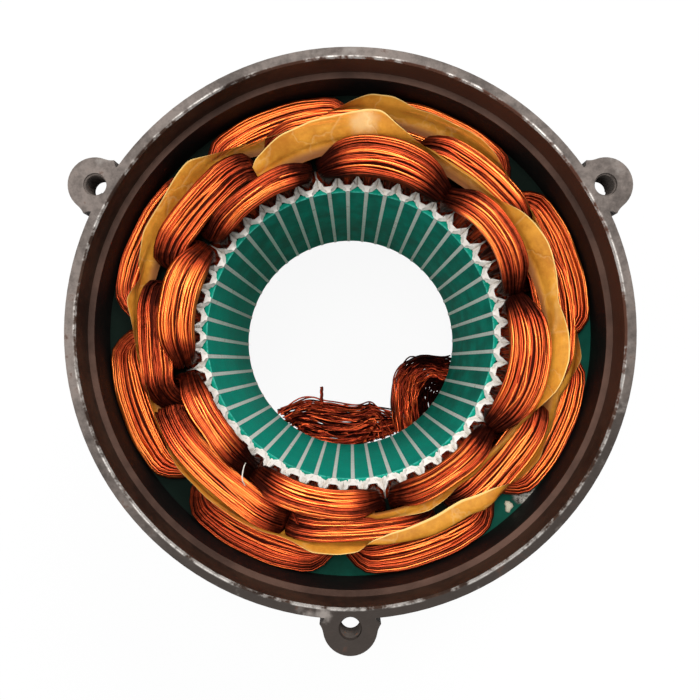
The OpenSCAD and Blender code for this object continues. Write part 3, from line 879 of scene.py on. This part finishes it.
# %% Fold the cuffs
CUFF_ROWS = np.array([-0.12, -0.02, 0.10, 0.3, 0.55, 0.8, 1.0])
CUFF_LIFT = np.array([-1.5, 1.2, 2.9, 3.2, 2.5, 1.4, 0.45])
CUFF_PLEAT = np.array([0, 0.2, 0.7, 1, 1, 0.7, 0.25])
FILL_ROWS = np.array([1.08, 0.8, 0.5, 0.1])
FILL_LIFT = np.array([-0.4, 0.9, 1.8, 2.4])
SLOT_ANGLES = [math.radians(FIRST_SLOT + slot * SLOT_PITCH) for slot in range(SLOTS)]


def join(patches):
    """Points and quads of patches, each an array of stations x rows x 3."""
    stations, rows, _ = patches[0].shape
    quads = [sweep_faces(rows, stations, False) + i * stations * rows for i in range(len(patches))]
    return np.concatenate([patch.reshape(-1, 3) for patch in patches]), np.concatenate(quads)


def fold_cuffs(name, end, seed):
    random = np.random.default_rng(seed)
    patches = []
    for a in SLOT_ANGLES:
        oval, outer = cuff_lines(random, a)
        plan = oval[:, None] + (outer - oval)[:, None] * CUFF_ROWS[None, :, None]
        pleat = random.normal(0, 0.16, (len(oval), 1)) * CUFF_PLEAT
        aside, r = plan[:, :, 0], plan[:, :, 1]
        flat = np.clip((r - 70) / 3.0, 0.12, 1)
        z = np.where(CUFF_LIFT > 0, CUFF_LIFT * flat, CUFF_LIFT) * random.uniform(0.9, 1.1) + pleat * flat
        patches.append(on_machine(a, r, aside, z, end))
    return piece(name, *join(patches), paper, "slot_paper")


def fill_slots(name, end, seed):
    """The wires that bulge out of each slot, dark partly from soaked varnish and partly as painted shade."""
    random = np.random.default_rng(seed)
    patches, tones = [], []
    for a in SLOT_ANGLES:
        oval, _ = cuff_lines(random, a)
        spine = np.stack([0.1 * oval[:, 0], 0.5 * oval[:, 1] + 39.5], -1)
        plan = spine[:, None] + (oval - spine)[:, None] * FILL_ROWS[None, :, None]
        aside, r = plan[:, :, 0], plan[:, :, 1]
        patches.append(on_machine(a, r, aside, FILL_LIFT + (r - 72) * 0.12, end))
        tones.append(np.repeat(np.clip(random.normal(0.26, 0.12, len(oval)), 0.05, 0.5), len(FILL_LIFT)))
    return piece(name, *join(patches), copper, "winding_copper", np.concatenate(tones))


for side, end in (("front", 1), ("rear", -1)):
    cuffs = fold_cuffs("paper_cuffs_" + side, end, 21)
    fill = fill_slots("slot_wires_" + side, end, 21)
    print(cuffs.name, fill.name, 2 * len(cuffs.data.polygons) + 2 * len(fill.data.polygons), "triangles")

# %% [markdown]
# ## Leads at the far end
# Through the bore the far end shows two bundles of leads: a band of wires that stands up in a loop at the
# right, and a flat, untidy bunch at the bottom. They follow the routes of their solids, but each wire has a
# course of its own: the loop's wires nest inside each other, and the bunch's run across.

# %% Courses of the leads
LEAD_R = 0.65 * MM
LEAD_SIDES, LEAD_SAMPLES = 5, 40
AT_WINDING = 70.4


def loop_stops(f, random):
    """One wire of the loop, from the bottom up and over to the right. F is 0 outermost."""
    left, top, side, s = 29.5 + 20 * f, -8.8 - 17 * f, -10 - 20 * f, 1 - 0.5 * f
    plan = [(left + 3.5, -63), (left + 1, -52), (left, -40), (left + 1.2, top - 17 * s),
            (left + 5.5 * s, top - 8.5 * s), (left + 12 * s, top - 2.8 * s), (left + 20 * s, top),
            (0.5 * left + 10 * s + 35.3, 0.5 * top + 0.5 * side), (70.6, side)]
    deep = 18.5 + 3 * random.uniform(-1, 1)
    stray = random.normal(0, 0.9, (len(plan), 2))
    return [(x + dx, y + dy, deep + random.normal(0, 0.7)) for (x, y), (dx, dy) in zip(plan, stray)]


def bunch_stops(rise, random):
    """One wire of the bunch, from the winding at the left to the lower right."""
    start = np.radians(max(246 - 22 * rise + random.normal(0, 3), 223.5))
    stop = np.radians(random.uniform(278, 314))
    low = -71.5 + 27 * rise ** 1.3
    plan = [(AT_WINDING * math.cos(start), AT_WINDING * math.sin(start)),
            (-35, 0.5 * low + 33 * math.sin(start) + 3.5 * rise),
            (-14, low + 1.5), (3, low), (16, 0.9 * low - 3),
            (AT_WINDING * math.cos(stop), AT_WINDING * math.sin(stop))]
    stray = random.normal(0, 1.3, (len(plan), 2))
    return [(x + dx, y + dy, 22.5 + random.normal(0, 1.6)) for (x, y), (dx, dy) in zip(plan, stray)]


print("lead radius", round(LEAD_R / MM, 2), "mm")

# %% Lay the leads
LOOP_WIRES, DARK_WIRES, BUNCH_WIRES = 84, 56, 116


def lead_piece(name, node, stops, tone, random):
    """Wires at the far end through stops, with heights over the core."""
    stops = np.array(stops, float)
    stops[:, :, 2] = CORE_MID - CORE_HALF - stops[:, :, 2]
    paths = smooth_through(stops, LEAD_SAMPLES) * MM
    points, faces = tubes(paths, LEAD_R * random.uniform(0.8, 1.0, len(paths)), LEAD_SIDES)
    # Painted shade: the wires darken towards +Y.
    lit = tone[:, None] * np.clip((-12 - paths[:, :, 1] / MM) / 14, 0.1, 1)
    made = piece(name, points, faces, lead_copper, "winding_copper", np.repeat(lit.reshape(-1), LEAD_SIDES))
    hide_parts(node)
    print(made.name, 2 * len(made.data.polygons), "triangles")


random = np.random.default_rng(31)
nest = np.concatenate([random.uniform(0, 1, LOOP_WIRES), random.uniform(0.85, 1.6, DARK_WIRES)])
loop = [loop_stops(f, random) for f in nest]
# The wires set behind the loop are near black, as painted shade.
loop_tone = np.where(nest < 0.9, np.clip(random.normal(0.5, 0.3, len(nest)), 0.03, 1), 0.03)
lead_piece("lead_loop_wires", "rear_lead_loop", loop, loop_tone, random)
bunch = [bunch_stops((k + random.random()) / BUNCH_WIRES, random) for k in range(BUNCH_WIRES)]
bunch_tone = np.clip(random.normal(0.33, 0.3, BUNCH_WIRES), 0.02, 1)
lead_piece("lead_bunch_wires", "rear_lead_bunch", bunch, bunch_tone, random)

# %% [markdown]
# ## Threads in the lugs
# The lug holes are tapped for end-shield screws, and the thread catches the light. A ridge that climbs as a
# helix in each hole is enough: three points in section, swept round and up.

# %% Cut the threads
LUGS, FIRST_LUG, LUG_CIRCLE = 3, 30, 129.5
PITCH, HOLE_R, THREAD_DEPTH = 1.75, 5.1, 0.62
LUG_LENGTH, PART_LENGTH = 19, 274
RIDGE = [(HOLE_R - 0.02, -0.45), (HOLE_R - THREAD_DEPTH, 0), (HOLE_R - 0.02, 0.45)]


def thread(name, z_low):
    turns = LUG_LENGTH / PITCH - 1
    t = np.linspace(0, 2 * np.pi * turns, int(turns * 28))
    climb = z_low + PITCH * (0.5 + t / 2 / np.pi)
    ridges = []
    for lug in range(LUGS):
        a = math.radians(FIRST_LUG + 360 / LUGS * lug)
        x, y = LUG_CIRCLE * math.cos(a), LUG_CIRCLE * math.sin(a)
        ridges.append(np.stack([np.stack([x + r * np.cos(t), y + r * np.sin(t), climb + dz * PITCH], -1)
                                for r, dz in RIDGE], axis=1))
    points, faces = join(ridges)
    return piece(name, points * MM, faces, iron, "cast_frame", smooth=False)


for name, low in (("lug_threads_front", PART_LENGTH - LUG_LENGTH), ("lug_threads_rear", 0)):
    print(thread(name, low).name, "cut")

# %% [markdown]
# ## Small things
# A thread of white tape pokes out at the lower left, a twisted tie sticks up at the bottom, and two stubs of
# twisted wire stand on the far bunch. All are short tubes, bent through a few points. A blob of filler by
# the chipped patch is half a lumpy ball.

# %% Loose ends
TWIST = np.linspace(0, 1, 12)


def short_tube(name, routes, radius, material, slot, tone=None):
    paths = [smooth_through(np.array(route, float)[None], 26) * MM for route in routes]
    points, faces = tubes(np.concatenate(paths), radius, 6)
    return piece(name, points, faces, material, slot, None if tone is None else np.full(len(points), tone))


def polar(radius, degrees, height):
    """A point in mm, over the front face of the core."""
    a = math.radians(degrees)
    return (radius * math.cos(a), radius * math.sin(a), CORE_MID + CORE_HALF + height)


def standing_stub(t, s):
    return (-20.5 + 0.7 * math.cos(9 * t + s), -49.5 + 18.5 * t, 23.5 + 3 * t + 0.7 * math.sin(9 * t + s))


def leaning_stub(t, s):
    return (8 + 6 * t + 0.4 * math.cos(9 * t + s), -50 + 7.5 * t + 0.4 * math.sin(9 * t + s), 24 + 2 * t)


def tie_wire(t, s):
    degrees = 252.6 + 2.2 * t + 0.4 * math.cos(8 * t + s)
    return polar(88 + 3.2 * t, degrees, 20.5 + 5.5 * t + 0.4 * math.sin(8 * t + s))


tape = Finish("pale_tape", Base_Color=(0.62, 0.57, 0.5, 1), Roughness=0.8).material
tape_route = [polar(71.8, 230.4, 4), polar(73, 230.3, 9), polar(76, 230.6, 16), polar(80, 231.7, 23),
              polar(83.5, 233.3, 25), polar(86, 235.2, 21)]
short_tube("tape_thread", [tape_route], 0.32 * MM, tape, "slot_paper")
stubs = [[standing_stub(t, s) for t in TWIST] for s in (0, 2.1, 4.2)]
stubs += [[leaning_stub(t, s) for t in TWIST] for s in (0, math.pi)]
short_tube("twisted_stub", stubs, LEAD_R * 0.95, lead_copper, "winding_copper", tone=0.4)
tie = [[tie_wire(t, s) for t in TWIST] for s in (0, math.pi)]
short_tube("twisted_tie", tie, 0.28 * MM, lead_copper, "winding_copper", tone=0.3)
print("tape, stubs and tie made")

# %% Blob of filler
BLOB_AT = polar(113.9, -47.3, 0)
BLOB_ROUND, BLOB_UP = 14, 7
u, v = np.meshgrid(np.linspace(0, 2 * np.pi, BLOB_ROUND + 1)[:-1], np.linspace(0.02, np.pi / 2, BLOB_UP),
                   indexing="ij")
lump = 1 + 0.18 * np.sin(3 * u + 1) * np.sin(v) + 0.1 * np.cos(5 * u)
blob = np.stack([BLOB_AT[0] + 2.0 * lump * np.sin(v) * np.cos(u),
                 BLOB_AT[1] + 2.9 * lump * np.sin(v) * np.sin(u),
                 BLOB_AT[2] + 1.6 * np.cos(v)], -1)
filler = Finish("pale_filler", Base_Color=(0.42, 0.38, 0.28, 1), Roughness=0.7).material
blob_faces = sweep_faces(BLOB_UP, BLOB_ROUND, False, True)
piece("filler_blob", blob.reshape(-1, 3) * MM, blob_faces, filler, "core_paint")
print("blob made of", blob.size // 3, "points")

# %% [markdown]
# ## Floor and light
# The part stands on its rear rim on a pale floor, which shows white through the bore in the photograph. To
# the camera most of that floor glows, so it shows white and still keeps a soft shadow.

# %% Floor
def floor_finish():
    f = Finish("pale_floor", Roughness=0.9, Base_Color=(0.86, 0.86, 0.85, 1))
    tree = f.material.node_tree
    rays = f.at.add("LightPath").socket.node.outputs
    mirrored = Signal(rays["Is Glossy Ray"]) * 0.1 + Signal(rays["Is Transmission Ray"]) * 0.5
    seen = Signal(rays["Is Camera Ray"]) + mirrored
    white = f.at.add("Emission", None, {"Color": (1, 1, 1, 1), "Strength": 1.0})
    mixed = f.at.add("MixShader", None, {0: seen * 0.93, 1: Signal(f.shader.outputs[0]), 2: white})
    tree.links.new(mixed.socket, tree.nodes["Material Output"].inputs["Surface"])
    return f.material


floor_mesh = bpy.data.meshes.new("floor")
floor_mesh.from_pydata([(-6, -6, 0), (6, -6, 0), (6, 6, 0), (-6, 6, 0)], [], [(0, 1, 2, 3)])
floor_mesh.materials.append(floor_finish())
floor = add_object("floor", floor_mesh)
floor.location.z = cad_low.z - 0.0004
floor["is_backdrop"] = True
print("floor at", round(floor.location.z, 4))

# %% [markdown]
# Three lamps hang over the front end: a broad one nearly on the axis, a second from the upper right and a
# weak one that fills from the lower left. A dim grey world, plain white to the camera, does the rest.

# %% Lamps and world
AIM = (0, 0, 0.2)


def lamp(name, place, size, watts):
    data = bpy.data.lights.new(name, "AREA")
    data.shape, data.size, data.energy = "DISK", size, watts
    made = add_object(name, data)
    made.location = place
    made.rotation_euler = (Vector(AIM) - Vector(place)).to_track_quat("-Z", "Y").to_euler()


lamp("front_lamp", (-0.08, 0.2, 1.5), 0.4, 10.5)
lamp("key_lamp", (0.3, 0.6, 1.2), 0.5, 8)
lamp("fill_lamp", (-0.6, -0.3, 1.2), 0.6, 3.8)
world = bpy.data.worlds.new("studio")
world.use_nodes = True
scene.world = world
ground = Signal(world.node_tree.nodes["Background"].outputs[0])
path = ground.add("LightPath").socket.node.outputs
open_sky = ground.add("Background", None, {"Color": (1, 1, 1, 1), "Strength": 1.0})
ground.socket.node.inputs["Color"].default_value = (0.9, 0.92, 0.95, 1)
ground.socket.node.inputs["Strength"].default_value = 0.47
sky = ground.add("MixShader", None, {0: Signal(path["Is Camera Ray"]), 1: ground, 2: open_sky})
world.node_tree.links.new(sky.socket, world.node_tree.nodes["World Output"].inputs["Surface"])
print("lamps and world set")

# %% [markdown]
# ## Sizes and the end
# The dressed part stays inside the box of its solids. The last line prints how far the dressed part reaches
# past that box on each side, in mm.

# %% Sizes and finish
seen_low, seen_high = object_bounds()
growth = [round((b - a) / MM, 2) for a, b in zip((*seen_low, *cad_high), (*cad_low, *seen_high))]
print("grown by", growth, "mm")
